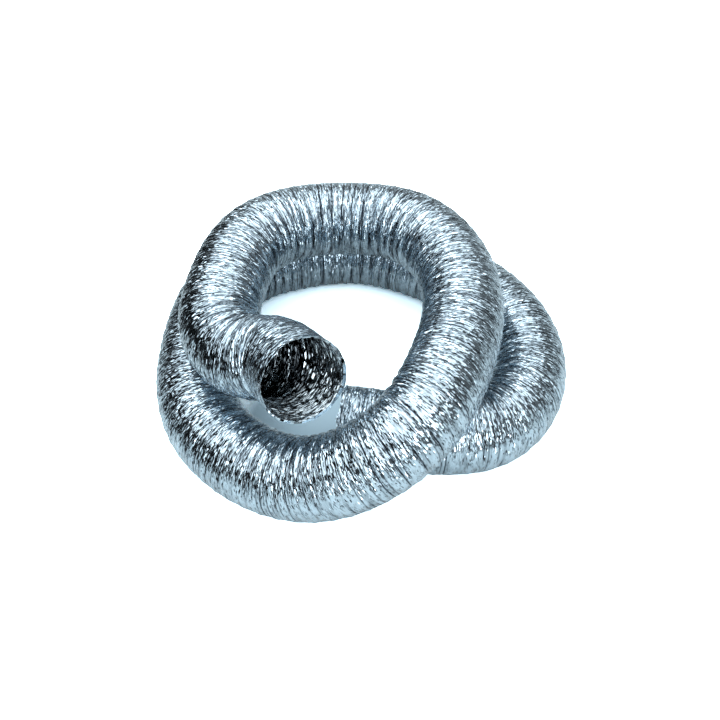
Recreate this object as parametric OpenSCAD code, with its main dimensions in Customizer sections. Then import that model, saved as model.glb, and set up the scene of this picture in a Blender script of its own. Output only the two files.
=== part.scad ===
// Flexible aluminium duct, one length of wire-wound foil hose as it lies in a loose coil.
// The wire helix shows as one continuous raised rib. Both ends are straight for a short
// way, so that they slide over a round spigot. Millimetres, +Z up, floor at z = 0.

/* [Duct] */
// Clear bore of the duct
bore_d = 101; // [76:1:127]
// Thickness of the foil wall, drawn heavier than the real foil
foil_wall = 0.7; // [0.5:0.1:1.5]
// How far the wire turns stand proud of the foil
rib_h = 1.3; // [0.8:0.1:2]
// Distance from one wire turn to the next, as the duct is laid
wire_pitch = 18.5; // [16:0.5:30]

/* [Ends] */
// Straight length of each end, from the coil to its last wire turn
end_len = 34; // [20:1:60]
// Bare foil past the last wire turn at each end
edge_len = 4; // [3:1:20]

/* [Hidden] */

// Sides of the coiled tube and of its round ends, and centreline samples between two points
sides = 14;
fine_sides = 2 * sides;
samples = 16;
// Length at each end over which the coiled tube turns into the round end
blend_len = 3;
// Thickness left inside each end, which its round bore is cut from
bore_stock = 0.3;
// Spare length of what only cuts
spare = 1;

bore_r = bore_d / 2;
foil_r = bore_r + foil_wall;
crest_r = foil_r + rib_h;
outer_d = 2 * crest_r;

// Route of the centreline in outer diameters, [x, y, level], from the open mouth to the
// tail. Level 0 lies on the floor, and level 1 lies on another turn.
route = [
    [-0.78, -1.23, 1.29],
    [-0.96, -0.92, 1.15],
    [-1.40, -0.80, 0.95],
    [-1.75, -0.30, 0.95],
    [-1.70,  0.40, 1.00],
    [-1.50,  1.25, 1.05],
    [-0.85,  1.80, 0.95],
    [ 0.05,  1.90, 0.90],
    [ 0.80,  1.60, 1.00],
    [ 1.25,  0.80, 1.00],
    [ 1.30, -0.10, 1.00],
    [ 1.05, -0.95, 1.05],
    [ 0.70, -1.70, 0.95],
    [ 0.10, -2.05, 0.60],
    [-0.60, -2.00, 0.15],
    [-1.30, -1.65, 0.00],
    [-1.90, -1.10, 0.00],
    [-2.15, -0.35, 0.00],
    [-2.15,  0.50, 0.00],
    [-2.05,  1.30, 0.00],
    [-1.60,  1.90, 0.00],
    [-0.80,  2.20, 0.00],
    [ 0.00,  2.30, 0.00],
    [ 0.75,  2.05, 0.00],
    [ 1.45,  1.60, 0.00],
    [ 2.00,  1.00, 0.00],
    [ 2.25,  0.20, 0.00],
    [ 2.10, -0.60, 0.00],
    [ 1.60, -1.15, 0.00],
    [ 0.87, -1.18, 0.00],
    [ 0.15, -1.07, 0.00]
];

// The route in millimetres, with one mirrored point past each end
laid = [for (p = route) outer_d * [p.x, p.y, p.z + 0.5]];
last = len(laid) - 1;
guide = concat([2 * laid[0] - laid[1]], laid, [2 * laid[last] - laid[last - 1]]);

function unit(v) = v / norm(v);

// Point of the smooth curve at u, a uniform cubic B-spline with its knots at whole numbers
function curve(u) =
    let (i = min(floor(u), last - 1), t = u - i)
    ((1 - t) ^ 3 * guide[i]
        + (3 * t ^ 3 - 6 * t ^ 2 + 4) * guide[i + 1]
        + (-3 * t ^ 3 + 3 * t ^ 2 + 3 * t + 1) * guide[i + 2]
        + t ^ 3 * guide[i + 3]) / 6;

// Samples of the centreline and the length run up to each
dots = [for (k = [0 : last * samples]) curve(k / samples)];
runs = [
    for (k = 0, s = 0; k < len(dots); s = s + norm(dots[min(k + 1, len(dots) - 1)] - dots[k]), k = k + 1) s
];
coil_len = runs[len(runs) - 1];
tables = [for (axis = [0 : 2]) [for (k = [0 : len(dots) - 1]) [runs[k], dots[k][axis]]]];

// Direction and place of the centreline at the length s, running straight on past its ends
half_step = wire_pitch / 4;
function spot(s) = [for (axis = [0 : 2]) lookup(s, tables[axis])];
function heading(s) =
    let (c = min(max(s, 0), coil_len))
    unit(spot(c + half_step) - spot(c - half_step));
first_dir = heading(0);
last_dir = heading(coil_len);
function place(s) = spot(s) + min(s, 0) * first_dir + max(s - coil_len, 0) * last_dir;

// Right hand and upward directions across the duct, seen along its heading
function right_of(t) = unit(cross(t, [0, 0, 1]));
function above(t) = cross(right_of(t), t);

// Point on the duct's surface, at length s, angle a from the right hand side, and radius r
function skin(s, a, r) =
    let (t = heading(s))
    place(s) + r * (cos(a) * right_of(t) + sin(a) * above(t));

// Whole turns of the wire on the coil, and the length before the first and past the last
turns = floor(coil_len / wire_pitch) - 1;
lead = (coil_len - (turns + 0.5) * wire_pitch) / 2;
steps = turns * sides;
step_a = 360 / sides;

// Outer surface of the coil: the crest and the valley of one helix, between two flat rings
crest = [for (m = [0 : steps]) skin(lead + wire_pitch * m / sides, m * step_a, crest_r)];
valley = [for (m = [0 : steps]) skin(lead + wire_pitch * (m / sides + 0.5), m * step_a, foil_r)];

// A ring of n points at the length s
function ring(s, r, n) = [for (j = [0 : n - 1]) skin(s, j * 360 / n, r)];

// Outline of a round end, outwards from the coil: foil, whole wire turns, and its bare edge
first_turn = end_len - wire_pitch * floor((end_len - blend_len - 2 * rib_h) / wire_pitch);
reach = end_len + edge_len;
outline = concat(
    [[blend_len, foil_r]],
    [for (z = [first_turn : wire_pitch : end_len])
        each [[z - rib_h, foil_r], [z, crest_r], [z + rib_h, foil_r]]],
    [[reach, foil_r]]
);

// Both round ends as rings in the order of the centreline, and the bore between them
mouth_rings = [for (i = [len(outline) - 1 : -1 : 0]) [-outline[i].x, outline[i].y]];
tail_rings = [for (p = outline) [coil_len + p.x, p.y]];
bore_rings = ceil(coil_len / (outer_d / 4.4));

points = concat(
    crest,
    valley,
    ring(0, crest_r, sides),
    ring(coil_len, crest_r, sides),
    [for (i = [0 : bore_rings]) each ring(coil_len * i / bore_rings, bore_r, sides)],
    [for (p = mouth_rings) each ring(p.x, p.y, fine_sides)],
    [for (p = tail_rings) each ring(p.x, p.y, fine_sides)],
    [for (s = [-reach, -blend_len, coil_len + blend_len, coil_len + reach])
        each ring(s, bore_r - bore_stock, fine_sides)]
);

// Where each of those lists starts
valley_0 = steps + 1;
first_0 = 2 * (steps + 1);
last_0 = first_0 + sides;
bore_0 = last_0 + sides;
bore_end = bore_0 + bore_rings * sides;
mouth_0 = bore_end + sides;
mouth_end = mouth_0 + (len(mouth_rings) - 1) * fine_sides;
tail_0 = mouth_end + fine_sides;
tail_end = tail_0 + (len(tail_rings) - 1) * fine_sides;
lining_0 = tail_end + fine_sides;

// Two triangles for the patch a b c d, and a band of patches from ring a to ring b
function patch(a, b, c, d) = [[a, b, c], [a, c, d]];
function band(a, b, n) = [
    for (j = [0 : n - 1]) each patch(a + j, a + (j + 1) % n, b + (j + 1) % n, b + j)
];

// Bands between a fine ring and a coarse one, and the same faces turned inward
function narrowed(fine, coarse) = [
    for (j = [0 : sides - 1])
        let (f = fine + 2 * j, g = fine + (2 * j + 2) % fine_sides, c = coarse + j, d = coarse + (j + 1) % sides)
        each [[f, f + 1, c], [f + 1, d, c], [f + 1, g, d]]
];
function widened(coarse, fine) = [
    for (j = [0 : sides - 1])
        let (f = fine + 2 * j, g = fine + (2 * j + 2) % fine_sides, c = coarse + j, d = coarse + (j + 1) % sides)
        each [[c, f + 1, f], [c, d, f + 1], [d, g, f + 1]]
];
function inward(list) = [for (f = list) [f[2], f[1], f[0]]];

faces = concat(
    // from crest to valley, and from valley to the next turn's crest
    [for (m = [0 : steps - 1]) each patch(m, m + 1, valley_0 + m + 1, valley_0 + m)],
    [for (m = [0 : steps - sides - 1])
        each patch(valley_0 + m, valley_0 + m + 1, m + sides + 1, m + sides)],
    // the first flat ring to the first turn's crest, closed round the start of the helix
    [for (j = [0 : sides - 2]) each patch(first_0 + j, first_0 + j + 1, j + 1, j)],
    [
        [sides - 1, first_0 + sides - 1, first_0],
        [sides - 1, first_0, 0],
        [sides - 1, 0, valley_0],
        [sides - 1, valley_0, sides]
    ],
    // the last turn's valley to the last flat ring, closed round the end of the helix
    [for (j = [0 : sides - 2])
        each patch(valley_0 + steps - sides + j, valley_0 + steps - sides + j + 1, last_0 + j + 1, last_0 + j)],
    [
        [last_0 + sides - 1, valley_0 + steps - 1, valley_0 + steps],
        [last_0 + sides - 1, valley_0 + steps, steps],
        [last_0 + sides - 1, steps, valley_0 + steps - sides],
        [last_0 + sides - 1, valley_0 + steps - sides, last_0]
    ],
    // the round ends
    [for (i = [mouth_0 : fine_sides : mouth_end - 1]) each band(i, i + fine_sides, fine_sides)],
    narrowed(mouth_end, first_0),
    widened(last_0, tail_0),
    [for (i = [tail_0 : fine_sides : tail_end - 1]) each band(i, i + fine_sides, fine_sides)],
    // the inside, from end to end
    inward(band(lining_0, lining_0 + fine_sides, fine_sides)),
    inward(narrowed(lining_0 + fine_sides, bore_0)),
    [for (i = [bore_0 : sides : bore_end - 1]) each inward(band(i, i + sides, sides))],
    inward(widened(bore_end, lining_0 + 2 * fine_sides)),
    inward(band(lining_0 + 2 * fine_sides, lining_0 + 3 * fine_sides, fine_sides)),
    // the two flat end faces
    band(lining_0, mouth_0, fine_sides),
    band(tail_end, lining_0 + 3 * fine_sides, fine_sides)
);

// The floor and the middle of the coil, where the origin goes
low = [for (axis = [0 : 2]) min([for (p = points) p[axis]])];
high = [for (axis = [0 : 2]) max([for (p = points) p[axis]])];
origin = [(low.x + high.x) / 2, (low.y + high.y) / 2, low.z];

// Moves its children to the centreline at s, with +Z along dir and +Y upward
module at_end(s, dir) {
    t = dir * heading(s);
    x = cross(above(t), t);
    y = above(t);
    c = place(s);
    multmatrix([
        [x.x, y.x, t.x, c.x],
        [x.y, y.y, t.y, c.y],
        [x.z, y.z, t.z, c.z]
    ]) children();
}

// Round bore of an end, cut from the end's own stock and turned so that it starts between corners
module end_bore() {
    translate([0, 0, blend_len + spare])
        rotate([0, 0, 180 / fine_sides])
            cylinder(h = reach, r = bore_r, $fn = 96);
}

module foil_duct() {
    color("silver")
        translate(-origin)
            difference() {
                polyhedron(points = points, faces = faces, convexity = 10);
                at_end(0, -1) end_bore();
                at_end(coil_len, 1) end_bore();
            }
}

foil_duct();
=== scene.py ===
import math
import bpy
import numpy as np
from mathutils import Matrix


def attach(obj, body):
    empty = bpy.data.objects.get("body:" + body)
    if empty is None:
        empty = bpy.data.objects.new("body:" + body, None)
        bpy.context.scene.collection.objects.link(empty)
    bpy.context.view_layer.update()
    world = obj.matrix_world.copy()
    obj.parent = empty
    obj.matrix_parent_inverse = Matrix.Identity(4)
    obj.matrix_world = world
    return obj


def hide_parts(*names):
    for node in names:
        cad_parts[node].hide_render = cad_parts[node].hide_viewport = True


# Flexible aluminium duct in a loose coil: a tube of crinkled foil with a wire helix in its wall.
# Lengths are metres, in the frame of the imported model, and the floor is z = 0.

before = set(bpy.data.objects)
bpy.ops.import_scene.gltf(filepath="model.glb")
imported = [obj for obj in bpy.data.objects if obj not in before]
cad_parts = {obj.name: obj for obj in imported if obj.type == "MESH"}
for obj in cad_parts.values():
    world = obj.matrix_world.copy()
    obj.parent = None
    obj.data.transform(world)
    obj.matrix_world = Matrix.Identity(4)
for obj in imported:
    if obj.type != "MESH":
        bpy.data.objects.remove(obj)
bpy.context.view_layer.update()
print("frame loaded", [list(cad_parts)])

# Camera at the picture's angle. It looks along +Y and down on the coil.
cameraView = dict(
    aim=(-0.0022, -0.0125, 0.060),  # the point in the middle of the picture
    elevation=47.74,                # degrees above the floor
    distance=1.1854,
    lens=43.32,                     # mm, on a 36 mm frame
)


def addCamera(view):
    tilt = math.radians(view["elevation"])
    data = bpy.data.cameras.new("camera")
    data.sensor_width = 36
    data.lens = view["lens"]
    data.clip_start = 0.01
    camera = bpy.data.objects.new("camera", data)
    bpy.context.collection.objects.link(camera)
    x, y, z = view["aim"]
    camera.location = (x, y - view["distance"] * math.cos(tilt), z + view["distance"] * math.sin(tilt))
    camera.rotation_euler = (math.pi / 2 - tilt, 0, 0)
    bpy.context.scene.camera = camera


addCamera(cameraView)

# The duct as it lies. Route points are [x, y, level] in outer diameters, from the open mouth to
# the tail; level 0 lies on the floor and level 1 on another turn.
duct = dict(
    outerDiameter=0.105,
    boreRadius=0.0505,
    wirePitch=0.0185,     # from one wire turn to the next, along the centreline
    endLength=0.034,      # straight stretch at each end, up to its last wire turn
    edge=0.004,           # bare foil past the last wire turn at each end
    middle=(0.00218, 0.01247, 0.0),  # where the coil's middle lies on the route's own grid
    route=[
        (-0.78, -1.23, 1.29), (-0.96, -0.92, 1.15), (-1.40, -0.80, 0.95), (-1.75, -0.30, 0.95),
        (-1.70, 0.40, 1.00), (-1.50, 1.25, 1.05), (-0.85, 1.80, 0.95), (0.05, 1.90, 0.90),
        (0.80, 1.60, 1.00), (1.25, 0.80, 1.00), (1.30, -0.10, 1.00), (1.05, -0.95, 1.05),
        (0.70, -1.70, 0.95), (0.10, -2.05, 0.60), (-0.60, -2.00, 0.15), (-1.30, -1.65, 0.00),
        (-1.90, -1.10, 0.00), (-2.15, -0.35, 0.00), (-2.15, 0.50, 0.00), (-2.05, 1.30, 0.00),
        (-1.60, 1.90, 0.00), (-0.80, 2.20, 0.00), (0.00, 2.30, 0.00), (0.75, 2.05, 0.00),
        (1.45, 1.60, 0.00), (2.00, 1.00, 0.00), (2.25, 0.20, 0.00), (2.10, -0.60, 0.00),
        (1.60, -1.15, 0.00), (0.87, -1.18, 0.00), (0.15, -1.07, 0.00),
    ],
)

# Relief of the foil, all in metres. Each set of pleats is its spacing along the duct, its length
# around the duct, and its height.
foilRelief = dict(
    ribHeight=0.0005,
    ribWidth=0.0012,
    sag=0.0003,           # depth of the fold between two wire turns on a straight stretch
    fold=0.0080,          # what it gains where a bend pushes the wall together
    drift=0.0022,         # how far the pleats stray from the round
    pleats=[(0.0056, 0.030, 0.00026), (0.0024, 0.009, 0.00016)],
    deepest=0.0038,
    ringCount=4,          # sharp creases that run round with each wire turn
    ringWidth=0.0008,
    ringDepth=0.0006,
    ragged=0.0020,        # how uneven the cut edges are
    tailSlant=0.003,      # how much longer the tail's cut edge is on top
    seed=11,
)

# Strengths of the painted shade: in folds on a straight stretch and in a bend, along pleat creases and ring
# creases, and deep inside the lining; creaseWidth is a crease's width in pleat values
foldShade = dict(straight=0.50, bent=2.9, crease=0.50, creaseWidth=0.12, ring=0.85, inside=0.92)

# Radii of the wall's hidden faces and of its lining, at the ends and in the coil, where the foil
# folds deeper
wall = dict(outerBack=(0.05085, 0.0480), innerBack=(0.05078, 0.0479), lining=(0.0503, 0.0475))


def centreline(facts):
    # Uniform cubic B-spline through the route's guide points, its end points mirrored outward.
    # Returns the length run up to each sample and the samples, from the first wire turn of the coil.
    guide = np.array(facts["route"]) * facts["outerDiameter"]
    guide[:, 2] += facts["outerDiameter"] / 2
    guide -= np.array(facts["middle"])
    guide = np.vstack([2 * guide[0] - guide[1], guide, 2 * guide[-1] - guide[-2]])
    spans = len(guide) - 3
    u = np.linspace(0, spans, spans * 160 + 1)
    i = np.minimum(u.astype(int), spans - 1)
    t = (u - i)[:, None]
    points = ((1 - t) ** 3 * guide[i] + (3 * t ** 3 - 6 * t ** 2 + 4) * guide[i + 1]
              + (-3 * t ** 3 + 3 * t ** 2 + 3 * t + 1) * guide[i + 2] + t ** 3 * guide[i + 3]) / 6
    run = np.concatenate([[0], np.cumsum(np.linalg.norm(np.diff(points, axis=0), axis=1))])
    return run, points


run, linePoints = centreline(duct)
coilLength = run[-1]
reach = duct["endLength"] + duct["edge"]
start, finish = -reach, coilLength + reach


def unit(v):
    return v / np.linalg.norm(v, axis=-1, keepdims=True)


def spot(s):
    return np.stack([np.interp(s, run, linePoints[:, k]) for k in range(3)], axis=-1)


def heading(s):
    step = duct["wirePitch"] / 4
    s = np.clip(s, 0, coilLength)
    return unit(spot(s + step) - spot(s - step))


def place(s):
    # The centreline runs straight on past both ends of the coil.
    before = np.minimum(s, 0)[..., None] * heading(np.array(0.0))
    after = np.maximum(s - coilLength, 0)[..., None] * heading(np.array(coilLength))
    return spot(s) + before + after


def skin(s, angle, radius):
    # Surface point = centre at s + radius (cos angle * right hand + sin angle * upward).
    along = heading(s)
    right = unit(np.cross(along, np.array([0.0, 0.0, 1.0])))
    above = np.cross(right, along)
    return place(s) + radius[..., None] * (np.cos(angle)[..., None] * right + np.sin(angle)[..., None] * above)


def waves(s, angle, along, around, seed):
    # Smooth noise in -1..1 on a grid of random values, spaced along and around the duct, that
    # closes on itself after a full turn.
    ringCount = max(int(round(math.pi * duct["outerDiameter"] / around)), 3)
    rowCount = int(3.2 / along) + 4
    grid = np.random.default_rng(seed).uniform(-1, 1, (rowCount, ringCount))
    x = (s + 0.3) / along
    y = (angle / (2 * math.pi)) % 1.0 * ringCount
    i, j = np.floor(x).astype(int), np.floor(y).astype(int)
    fx, fy = x - i, y - j
    fx, fy = fx * fx * (3 - 2 * fx), fy * fy * (3 - 2 * fy)
    i = np.clip(i, 0, rowCount - 2)
    a, b = grid[i, j % ringCount], grid[i, (j + 1) % ringCount]
    c, d = grid[i + 1, j % ringCount], grid[i + 1, (j + 1) % ringCount]
    return (a * (1 - fy) + b * fy) * (1 - fx) + (c * (1 - fy) + d * fy) * fx


def wireDistance(s, angle):
    # Distance along the duct from the nearest wire turn; a helix, so it shifts with the angle.
    phase = s / duct["wirePitch"] - angle / (2 * math.pi)
    return (phase - np.round(phase)) * duct["wirePitch"]


def closeness(s, angle):
    # How far the bend pushes the wall together: 0 on a straight stretch and positive on the
    # inside of a bend
    step = duct["wirePitch"] / 2
    along = heading(s)
    right = unit(np.cross(along, np.array([0.0, 0.0, 1.0])))
    above = np.cross(right, along)
    bend = (heading(s + step) - heading(s - step)) / (2 * step)
    aside, upward = (bend * right).sum(-1), (bend * above).sum(-1)
    return duct["outerDiameter"] / 2 * (np.cos(angle) * aside + np.sin(angle) * upward)


def inCoil(s):
    # 0 at the ends, where the wall is round for a spigot, and 1 in the coil
    return np.clip(np.minimum(s, coilLength - s) / 0.03, 0, 1)


def byPlace(s, radii):
    return radii[0] + (radii[1] - radii[0]) * inCoil(s)


def foldShape(s, angle):
    # The fold between two wire turns, from 0 at the wire to 1 at its bottom, and how much deeper
    # the bend makes it
    d = wireDistance(s, angle) / (duct["wirePitch"] / 2)
    wander = 0.25 * waves(s, angle, 0.010, 0.015, foilRelief["seed"] + 9)
    slack = np.clip(1 - np.abs(np.abs(d) - 0.85 + wander), 0, 1) ** 2
    return slack, np.clip(closeness(s, angle), 0, 0.45)


def pleat(s, angle, n):
    # -1..1 over the foil, with a sharp crease wherever it passes through 0
    along, around, height = foilRelief["pleats"][n]
    drift = foilRelief["drift"] * waves(s, angle, 0.012, 0.030, foilRelief["seed"])
    return waves(s + drift, angle, along, around, foilRelief["seed"] + 1 + n)


def ringCrease(s, angle):
    # 1 in the middle of a sharp crease and 0 beside it; the creases run parallel to the wire and
    # are broken up along their way round. The one halfway between two wire turns is longer and deeper.
    count = foilRelief["ringCount"]
    spacing = duct["wirePitch"] / count
    drift = 0.0012 * waves(s, angle, 0.014, 0.045, foilRelief["seed"] + 20)
    phase = (s + drift) / spacing - count * angle / (2 * math.pi)
    away = (phase - np.round(phase)) * spacing
    present = np.clip(0.3 + 3 * waves(s - away, angle, 0.6 * spacing, 0.036, foilRelief["seed"] + 21), 0, 1)
    longer = np.clip(0.7 + 2 * waves(s - away, angle, 0.010, 0.050, foilRelief["seed"] + 22), 0, 1.4)
    halfway = np.round(phase) % count == count // 2
    return np.where(halfway, longer, present) * np.exp(-(away / foilRelief["ringWidth"]) ** 2)


def shade(s, angle):
    # Painted shade: how dark the foil is painted at the bottom of a fold between wire turns (more inside a bend),
    # along a pleat's crease and along a ring crease, which lie too deep to see light
    slack, close = foldShape(s, angle)
    uneven = np.clip(0.8 + 0.9 * waves(s, angle, 0.010, 0.020, foilRelief["seed"] + 8), 0, 1)
    fold = slack ** 3 * uneven * (foldShade["straight"] + foldShade["bent"] * close)
    broken = np.clip(0.6 + 1.6 * waves(s, angle, 0.007, 0.016, foilRelief["seed"] + 7), 0, 1)
    crease = foldShade["crease"] * broken * np.exp(-(pleat(s, angle, 0) / foldShade["creaseWidth"]) ** 2)
    ring = foldShade["ring"] * ringCrease(s, angle)
    return np.clip(np.maximum(np.maximum(fold, crease), ring), 0, 1)


def liningShade(s, angle):
    # Painted shade on the lining: left silvery near an open end, painted darker between wire turns and dark deep
    # inside, where only the wire turns stay pale.
    depth = np.clip((np.minimum(s - start, finish - s) - 0.022) / 0.050, 0, 1)
    fromWire = np.abs(wireDistance(s, angle)) / (duct["wirePitch"] / 2)
    between = np.clip((fromWire - 0.12) / 0.25, 0, 1)
    deep = foldShade["inside"] * depth * (0.3 + 0.7 * between)
    return np.maximum(0.7 * shade(s, angle), np.maximum(deep, 0.12 * between))


def foilRelative(s, angle):
    # Height of the foil over its crest: a rib at each wire turn, a fold between turns and sharp
    # pleats that run round.
    facts = foilRelief
    ridge = np.exp(-(wireDistance(s, angle) / facts["ribWidth"]) ** 2)
    slack, close = foldShape(s, angle)
    depth = facts["sag"] + facts["fold"] * close * inCoil(s)
    folds = np.zeros_like(s)
    for n, (along, around, height) in enumerate(facts["pleats"]):
        folds += height * (2 * np.abs(pleat(s, angle, n)) - 1)
    folds *= (1 - 0.6 * ridge) * (1 + 2 * close)
    height = -facts["ribHeight"] * (1 - ridge) - depth * slack + folds
    height -= facts["ringDepth"] * ringCrease(s, angle) * (1 - 0.6 * ridge)
    floorHeight = -0.0015 - (facts["deepest"] - 0.0015) * inCoil(s)
    return np.clip(height, floorHeight, 0.0003)


def bareShare(s):
    # 0 on the wire-wound foil and 1 on the bare edges past the last wire turns
    past = np.maximum(start + duct["edge"] - s, s - finish + duct["edge"])
    return np.clip(past / (duct["edge"] / 2), 0, 1)


def trimmed(s, angle):
    # The cut edges wander a little, and the tail's runs slightly aslant.
    cut = foilRelief["ragged"] * waves(np.zeros_like(s), angle, 0.01, 0.012, 71)
    aslant = foilRelief["tailSlant"] * np.sin(angle)
    return s + bareShare(s) * np.where(s < coilLength / 2, cut, aslant - cut)


def frayed(s, angle):
    # Where the bare edge is bent in and out
    spread = np.where(s < coilLength / 2, 0.0015 + 0.0017 * np.cos(angle + math.radians(40)), 0)
    return bareShare(s) * (spread + 0.0012 * waves(s, angle, 0.004, 0.009, 72))


def outerFront(s, a):
    bare = bareShare(s)
    radius = duct["outerDiameter"] / 2 + foilRelative(s, a)
    return trimmed(s, a), radius * (1 - bare) + 0.0514 * bare + frayed(s, a)


def outerBack(s, a):
    return trimmed(s, a), byPlace(s, wall["outerBack"])


def innerFront(s, a):
    # The lining shows the pleats from inside, and is plain deep inside where it isn't seen.
    bare = bareShare(s)
    depth = np.minimum(s - start, finish - s)
    near = np.clip((lining["seen"] - depth) / 0.02, 0, 1)
    relief = np.clip((foilRelative(s, a) + foilRelief["ribHeight"]) * near, -0.0016, 0.0003)
    return trimmed(s, a), (byPlace(s, wall["lining"]) + relief) * (1 - bare) + 0.0504 * bare + frayed(s, a)


def innerBack(s, a):
    return trimmed(s, a), byPlace(s, wall["innerBack"])


def gridFaces(rows, sides, first, flipped):
    # Quads of a tube of rows x sides vertices that starts at vertex number first.
    i, j = np.meshgrid(np.arange(rows - 1), np.arange(sides), indexing="ij")
    k = (j + 1) % sides
    quads = np.stack([i * sides + j, i * sides + k, (i + 1) * sides + k, (i + 1) * sides + j], axis=-1)
    quads = quads.reshape(-1, 4) + first
    return quads[:, ::-1] if flipped else quads


def capFaces(front, back, ratio, sides, flipped):
    # One face for each side of the coarse back ring, with ratio sides of the fine front ring.
    j = np.arange(sides // ratio)
    fine = [front + (j * ratio + k) % sides for k in range(ratio + 1)]
    coarse = [back + (j + 1) % (sides // ratio), back + j]
    faces = np.stack(fine + coarse, axis=-1)
    return faces[:, ::-1] if flipped else faces


def meshFrom(name, points, faceSets, straight, along, shades):
    mesh = bpy.data.meshes.new(name)
    sizes = np.concatenate([np.full(len(f), f.shape[1]) for f in faceSets])
    corners = np.concatenate([f.ravel() for f in faceSets])
    mesh.vertices.add(len(points))
    mesh.vertices.foreach_set("co", points.ravel())
    mesh.loops.add(len(corners))
    mesh.loops.foreach_set("vertex_index", corners)
    mesh.polygons.add(len(sizes))
    mesh.polygons.foreach_set("loop_start", np.concatenate([[0], np.cumsum(sizes)[:-1]]))
    mesh.update(calc_edges=True)
    mesh.polygons.foreach_set("use_smooth", np.ones(len(sizes), dtype=bool))
    mesh.set_sharp_from_angle(angle=math.radians(creaseAngle))
    for label, values in (("straight", straight), ("along", along)):
        attribute = mesh.attributes.new(label, "FLOAT_VECTOR", "POINT")
        attribute.data.foreach_set("vector", values.ravel())
    piece = bpy.data.objects.new(name, mesh)
    attribute = mesh.attributes.new("shade", "FLOAT", "POINT")
    attribute.data.foreach_set("value", shades.ravel())
    bpy.context.collection.objects.link(piece)
    return piece


def plyPiece(name, rows, backRows, sides, frontRadius, backRadius, inside):
    # A closed thin tube: a fine front surface, a plain hidden back surface and a cap at each end.
    backSides = sides // 2
    angles = np.arange(sides) * 2 * math.pi / sides
    s, a = np.meshgrid(rows, angles, indexing="ij")
    t, b = np.meshgrid(backRows, angles[::2], indexing="ij")
    s, front = frontRadius(s, a)
    t, back = backRadius(t, b)
    points = np.vstack([skin(s, a, front).reshape(-1, 3), skin(t, b, back).reshape(-1, 3)])
    straight = np.vstack([
        np.stack([s, front * np.cos(a), front * np.sin(a)], -1).reshape(-1, 3),
        np.stack([t, back * np.cos(b), back * np.sin(b)], -1).reshape(-1, 3),
    ])
    along = np.vstack([heading(s).reshape(-1, 3), heading(t).reshape(-1, 3)])
    darkness = liningShade(s, a) if inside else shade(s, a)
    shades = np.concatenate([darkness.ravel(), np.zeros(t.size)])
    firstBack = len(rows) * sides
    lastFront, lastBack = firstBack - sides, firstBack + (len(backRows) - 1) * backSides
    faces = [
        gridFaces(len(rows), sides, 0, inside),
        gridFaces(len(backRows), backSides, firstBack, not inside),
        capFaces(0, firstBack, 2, sides, not inside),
        capFaces(lastFront, lastBack, 2, sides, inside),
    ]
    return meshFrom(name, points, faces, straight, along, shades)


creaseAngle = 20
foilLook = dict(
    name="aluminium_foil_laminate",
    colour="#C4D4DF",
    # painted shade colour, mixed in at folds and creases by the shade attribute
    paintedShadeColour="#262F3A",
    roughness=0.18,
    facetSize=(0.0008, 0.0050),  # along and around the duct
    facetTilt=(0.46, 0.66),      # greatest slope of a facet along and around
    facetSpread=(1, 3),          # power of that slope's spread; at 3 most facets are nearly level
    creaseSize=(0.0009, 0.0050),
    creaseDepth=0.0002,
)
# The lining shows the same foil from behind, stretched round the wire in long streaks.
liningLook = dict(
    name="aluminium_foil_lining",
    colour="#D0DBE2",
    # painted shade colour, for folds, creases and deep inside the lining
    paintedShadeColour="#20262A",
    roughness=0.14,
    facetSize=(0.0009, 0.0050),
    facetTilt=(1.60, 0.80),
    facetSpread=(1, 3),
    creaseSize=(0.0014, 0.0080),
    creaseDepth=0.0008,
)
outer = dict(stretches=4, sides=84, step=0.00058, backStep=0.008)
lining = dict(seen=0.20, step=0.0007, deepStep=0.008)

pieces = []
cuts = np.linspace(start, finish, outer["stretches"] + 1)
for k in range(outer["stretches"]):
    length = cuts[k + 1] - cuts[k]
    rows = np.linspace(cuts[k], cuts[k + 1], int(round(length / outer["step"])) + 1)
    backRows = np.linspace(cuts[k], cuts[k + 1], int(round(length / outer["backStep"])) + 1)
    pieces.append(plyPiece(f"outer_ply_{k + 1}", rows, backRows, outer["sides"], outerFront, outerBack, False))

rows = np.concatenate([
    np.arange(start, start + lining["seen"], lining["step"]),
    np.arange(start + lining["seen"], finish - lining["seen"], lining["deepStep"]),
    np.linspace(finish - lining["seen"], finish, int(lining["seen"] / lining["step"]) + 1),
])
backRows = np.linspace(start, finish, int(round((finish - start) / outer["backStep"])) + 1)
liningPiece = plyPiece("inner_ply", rows, backRows, outer["sides"], innerFront, innerBack, True)
print("foil plies", [(p.name, len(p.data.polygons)) for p in pieces + [liningPiece]])


def linear(hexColour):
    # sRGB hex to linear RGBA
    values = [int(hexColour[k:k + 2], 16) / 255 for k in (1, 3, 5)]
    return [v / 12.92 if v <= 0.04045 else ((v + 0.055) / 1.055) ** 2.4 for v in values] + [1]


def addNode(tree, kind, place=(0, 0), links=(), **settings):
    # Adds a node; settings are inputs or properties by name, links are (input, socket) pairs.
    node = tree.nodes.new(kind)
    node.location = place
    for key, value in settings.items():
        if key in node.inputs:
            node.inputs[key].default_value = value
        else:
            setattr(node, key, value)
    for name, socket in links:
        tree.links.new(socket, node.inputs[name])
    return node


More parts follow.
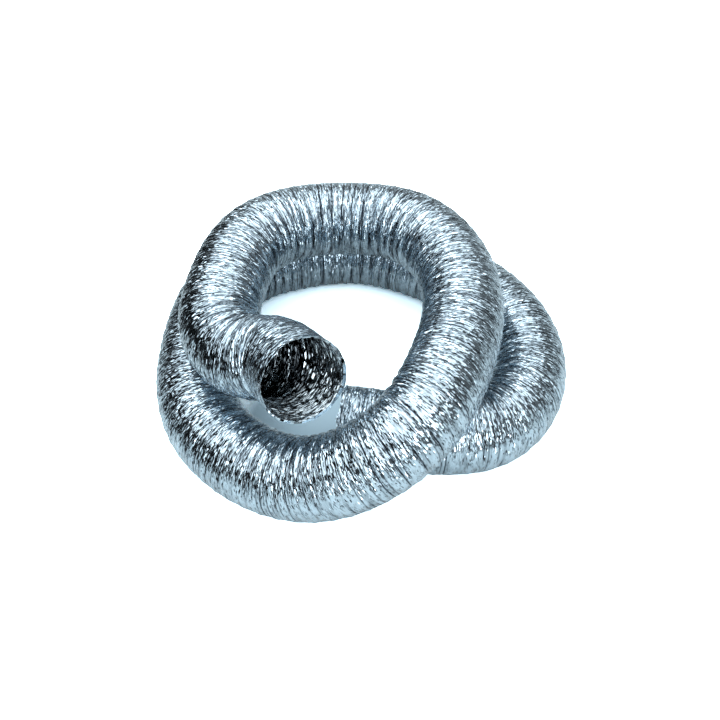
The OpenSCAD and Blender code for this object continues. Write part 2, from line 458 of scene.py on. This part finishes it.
def foilMaterial(look):
    # Bright rolled aluminium foil laminate: a mirror that countless small creases break up into
    # flat facets, each with a slope of its own
    material = bpy.data.materials.new(look["name"])
    material.use_nodes = True
    tree = material.node_tree
    shader = tree.nodes["Principled BSDF"]
    # Painted shade: the base colour goes toward the dark shade colour where the shade attribute marks folds,
    # creases and the lining's deep inside
    shades = addNode(tree, "ShaderNodeAttribute", (-700, 600), attribute_name="shade")
    dimmed = addNode(tree, "ShaderNodeMixRGB", (-400, 600), [("Fac", shades.outputs["Fac"])],
                     Color1=linear(look["colour"]), Color2=linear(look["paintedShadeColour"]))
    tree.links.new(dimmed.outputs["Color"], shader.inputs["Base Color"])
    shader.inputs["Metallic"].default_value = 1.0
    shader.inputs["Roughness"].default_value = look["roughness"]
    coords = addNode(tree, "ShaderNodeAttribute", (-1500, 0), attribute_name="straight")
    along = addNode(tree, "ShaderNodeAttribute", (-1500, -300), attribute_name="along")

    def scaled(size, y):
        factors = (1 / size[0], 1 / size[1], 1 / size[1])
        return addNode(tree, "ShaderNodeMapping", (-1300, y), [("Vector", coords.outputs["Vector"])], Scale=factors)

    fine = scaled(look["creaseSize"], 300)
    creases = addNode(tree, "ShaderNodeTexNoise", (-1100, 300), [("Vector", fine.outputs["Vector"])],
                      Scale=1.0, Detail=1.0)
    bump = addNode(tree, "ShaderNodeBump", (-900, 300), [("Height", creases.outputs["Fac"])],
                   Strength=1.0, Distance=look["creaseDepth"])
    wide = scaled(look["facetSize"], 0)
    facets = addNode(tree, "ShaderNodeTexVoronoi", (-1100, 0), [("Vector", wide.outputs["Vector"])], Scale=1.0)
    random = addNode(tree, "ShaderNodeSeparateColor", (-900, 0), [("Color", facets.outputs["Color"])])
    across = addNode(tree, "ShaderNodeVectorMath", (-900, -300), operation="CROSS_PRODUCT")
    tree.links.new(bump.outputs["Normal"], across.inputs[0])
    tree.links.new(along.outputs["Vector"], across.inputs[1])
    normal = bump.outputs["Normal"]
    sides = ((along.outputs["Vector"], "Red", 0), (across.outputs["Vector"], "Green", -250))
    for (side, channel, y), tilt, power in zip(sides, look["facetTilt"], look["facetSpread"]):
        spread = addNode(tree, "ShaderNodeMapRange", (-750, y), [("Value", random.outputs[channel])])
        spread.inputs["To Min"].default_value = -1
        shaped = addNode(tree, "ShaderNodeMath", (-600, y), operation="POWER")
        tree.links.new(spread.outputs["Result"], shaped.inputs[0])
        shaped.inputs[1].default_value = power
        slope = addNode(tree, "ShaderNodeMath", (-500, y), operation="MULTIPLY")
        tree.links.new(shaped.outputs["Value"], slope.inputs[0])
        slope.inputs[1].default_value = tilt
        tipped = addNode(tree, "ShaderNodeVectorMath", (-350, y), operation="MULTIPLY_ADD")
        tree.links.new(side, tipped.inputs[0])
        tree.links.new(slope.outputs["Value"], tipped.inputs[1])
        tree.links.new(normal, tipped.inputs[2])
        normal = tipped.outputs["Vector"]
    facing = addNode(tree, "ShaderNodeVectorMath", (-250, 0), operation="NORMALIZE")
    tree.links.new(normal, facing.inputs[0])
    tree.links.new(facing.outputs["Vector"], shader.inputs["Normal"])
    return material


foil, liningFoil = foilMaterial(foilLook), foilMaterial(liningLook)
for piece in pieces + [liningPiece]:
    piece.data.materials.append(liningFoil if piece is liningPiece else foil)
    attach(piece, "root")
    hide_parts("foil_duct")

# Pale floor and soft light
studio = dict(
    floorSize=8.0,
    floorColour="#DCE4E6",
    floorEnds=(-0.54, -0.40),   # the lit floor fades out to the left of the coil
    floorSeen=(4.0, 4.4, 4.5),  # the floor is overexposed where the camera sees it
    paintedGapShadow=(0.50, 0.66, 0.76),  # painted shadow: darker, less overexposed floor in the gap under the open mouth
    gap=(-0.085, -0.070, 0.065, 0.16),  # x and y of the painted shadow's middle, and where it fades out
    worldDark=0.004,
    worldLight=0.16,
    worldBack=0.28,
    backSpan=(0.75, 0.98),
    backdrop=0.80,              # what the camera sees behind the floor
    softbox=dict(place=(-0.2, 0.1, 1.9), size=(4.0, 3.6), power=89),
    key=dict(place=(-0.5, 0.35, 1.85), size=(0.8, 0.8), power=9),
    fill=dict(place=(0.3, -1.5, 0.85), size=(0.7, 0.7), power=11),
)


def addFloor():
    half = studio["floorSize"] / 2
    mesh = bpy.data.meshes.new("floor")
    mesh.from_pydata([(-half, -half, 0), (half, -half, 0), (half, half, 0), (-half, half, 0)], [], [(0, 1, 2, 3)])
    floor = bpy.data.objects.new("floor", mesh)
    bpy.context.collection.objects.link(floor)
    material = bpy.data.materials.new("white_paper")
    material.use_nodes = True
    tree = material.node_tree
    tree.nodes.remove(tree.nodes["Principled BSDF"])
    coords = addNode(tree, "ShaderNodeTexCoord", (-1000, 0))

    def blend(value, span, colours, y):
        # From the first colour to the second as the value crosses the span
        share = addNode(tree, "ShaderNodeMapRange", (-600, y), [("Value", value)])
        share.inputs["From Min"].default_value, share.inputs["From Max"].default_value = span
        ramp = addNode(tree, "ShaderNodeMixRGB", (-400, y), [("Fac", share.outputs["Result"])],
                       Color1=(*colours[0], 1), Color2=(*colours[1], 1))
        return addNode(tree, "ShaderNodeBsdfDiffuse", (-200, y), [("Color", ramp.outputs["Color"])])

    split = addNode(tree, "ShaderNodeSeparateXYZ", (-800, 100), [("Vector", coords.outputs["Object"])])
    # distance from the middle of the painted shadow under the open mouth
    away = addNode(tree, "ShaderNodeVectorMath", (-800, -100), operation="DISTANCE")
    tree.links.new(coords.outputs["Object"], away.inputs[0])
    away.inputs[1].default_value = (*studio["gap"][:2], 0)
    lit = blend(split.outputs["X"], studio["floorEnds"],
                ((0.01, 0.01, 0.01), linear(studio["floorColour"])[:3]), 100)
    # what the camera sees: overexposed floor, with a painted shadow round the gap under the mouth
    seen = blend(away.outputs["Value"], studio["gap"][2:], (studio["paintedGapShadow"], studio["floorSeen"]), -100)
    path = addNode(tree, "ShaderNodeLightPath", (-200, 400))
    mix = addNode(tree, "ShaderNodeMixShader", (0, 0))
    tree.links.new(path.outputs["Is Camera Ray"], mix.inputs[0])
    tree.links.new(lit.outputs["BSDF"], mix.inputs[1])
    tree.links.new(seen.outputs["BSDF"], mix.inputs[2])
    tree.links.new(mix.outputs["Shader"], tree.nodes["Material Output"].inputs["Surface"])
    mesh.materials.append(material)


def addLamp(name, facts):
    data = bpy.data.lights.new(name, "AREA")
    data.shape = "RECTANGLE"
    data.size, data.size_y = facts["size"]
    data.energy = facts["power"]
    data.color = (0.90, 0.97, 1.0)
    lamp = bpy.data.objects.new(name, data)
    bpy.context.collection.objects.link(lamp)
    lamp.location = facts["place"]
    aim = -np.array(facts["place"]) + np.array([0, 0, 0.1])
    lamp.rotation_euler = (math.acos(-aim[2] / np.linalg.norm(aim)), 0, math.atan2(-aim[0], aim[1]))


def addWorld():
    # Dark on the left, paler on the right and palest at the back
    world = bpy.data.worlds.new("studio")
    bpy.context.scene.world = world
    world.use_nodes = True
    tree = world.node_tree
    coords = addNode(tree, "ShaderNodeTexCoord", (-800, 0))
    split = addNode(tree, "ShaderNodeSeparateXYZ", (-600, 0), [("Vector", coords.outputs["Generated"])])
    level = addNode(tree, "ShaderNodeMapRange", (-400, 0), [("Value", split.outputs["X"])])
    level.inputs["From Min"].default_value = -0.7
    level.inputs["From Max"].default_value = 0.7
    level.inputs["To Min"].default_value = studio["worldDark"]
    level.inputs["To Max"].default_value = studio["worldLight"]
    back = addNode(tree, "ShaderNodeMapRange", (-400, -300), [("Value", split.outputs["Y"])])
    back.inputs["From Min"].default_value, back.inputs["From Max"].default_value = studio["backSpan"]
    back.inputs["To Max"].default_value = studio["worldBack"]
    total = addNode(tree, "ShaderNodeMath", (-200, 0), operation="ADD")
    tree.links.new(level.outputs["Result"], total.inputs[0])
    tree.links.new(back.outputs["Result"], total.inputs[1])
    background = tree.nodes["Background"]
    background.inputs["Color"].default_value = (0.90, 0.97, 1.0, 1)
    path = addNode(tree, "ShaderNodeLightPath", (-400, 300))
    shown = addNode(tree, "ShaderNodeMapRange", (0, 0),
                    [("Value", path.outputs["Is Camera Ray"]), ("To Min", total.outputs["Value"])])
    shown.inputs["To Max"].default_value = studio["backdrop"]
    tree.links.new(shown.outputs["Result"], background.inputs["Strength"])


addFloor()
addLamp("softbox", studio["softbox"])
addLamp("key", studio["key"])
addLamp("fill", studio["fill"])
addWorld()
bpy.context.scene.view_settings.view_transform = "Standard"
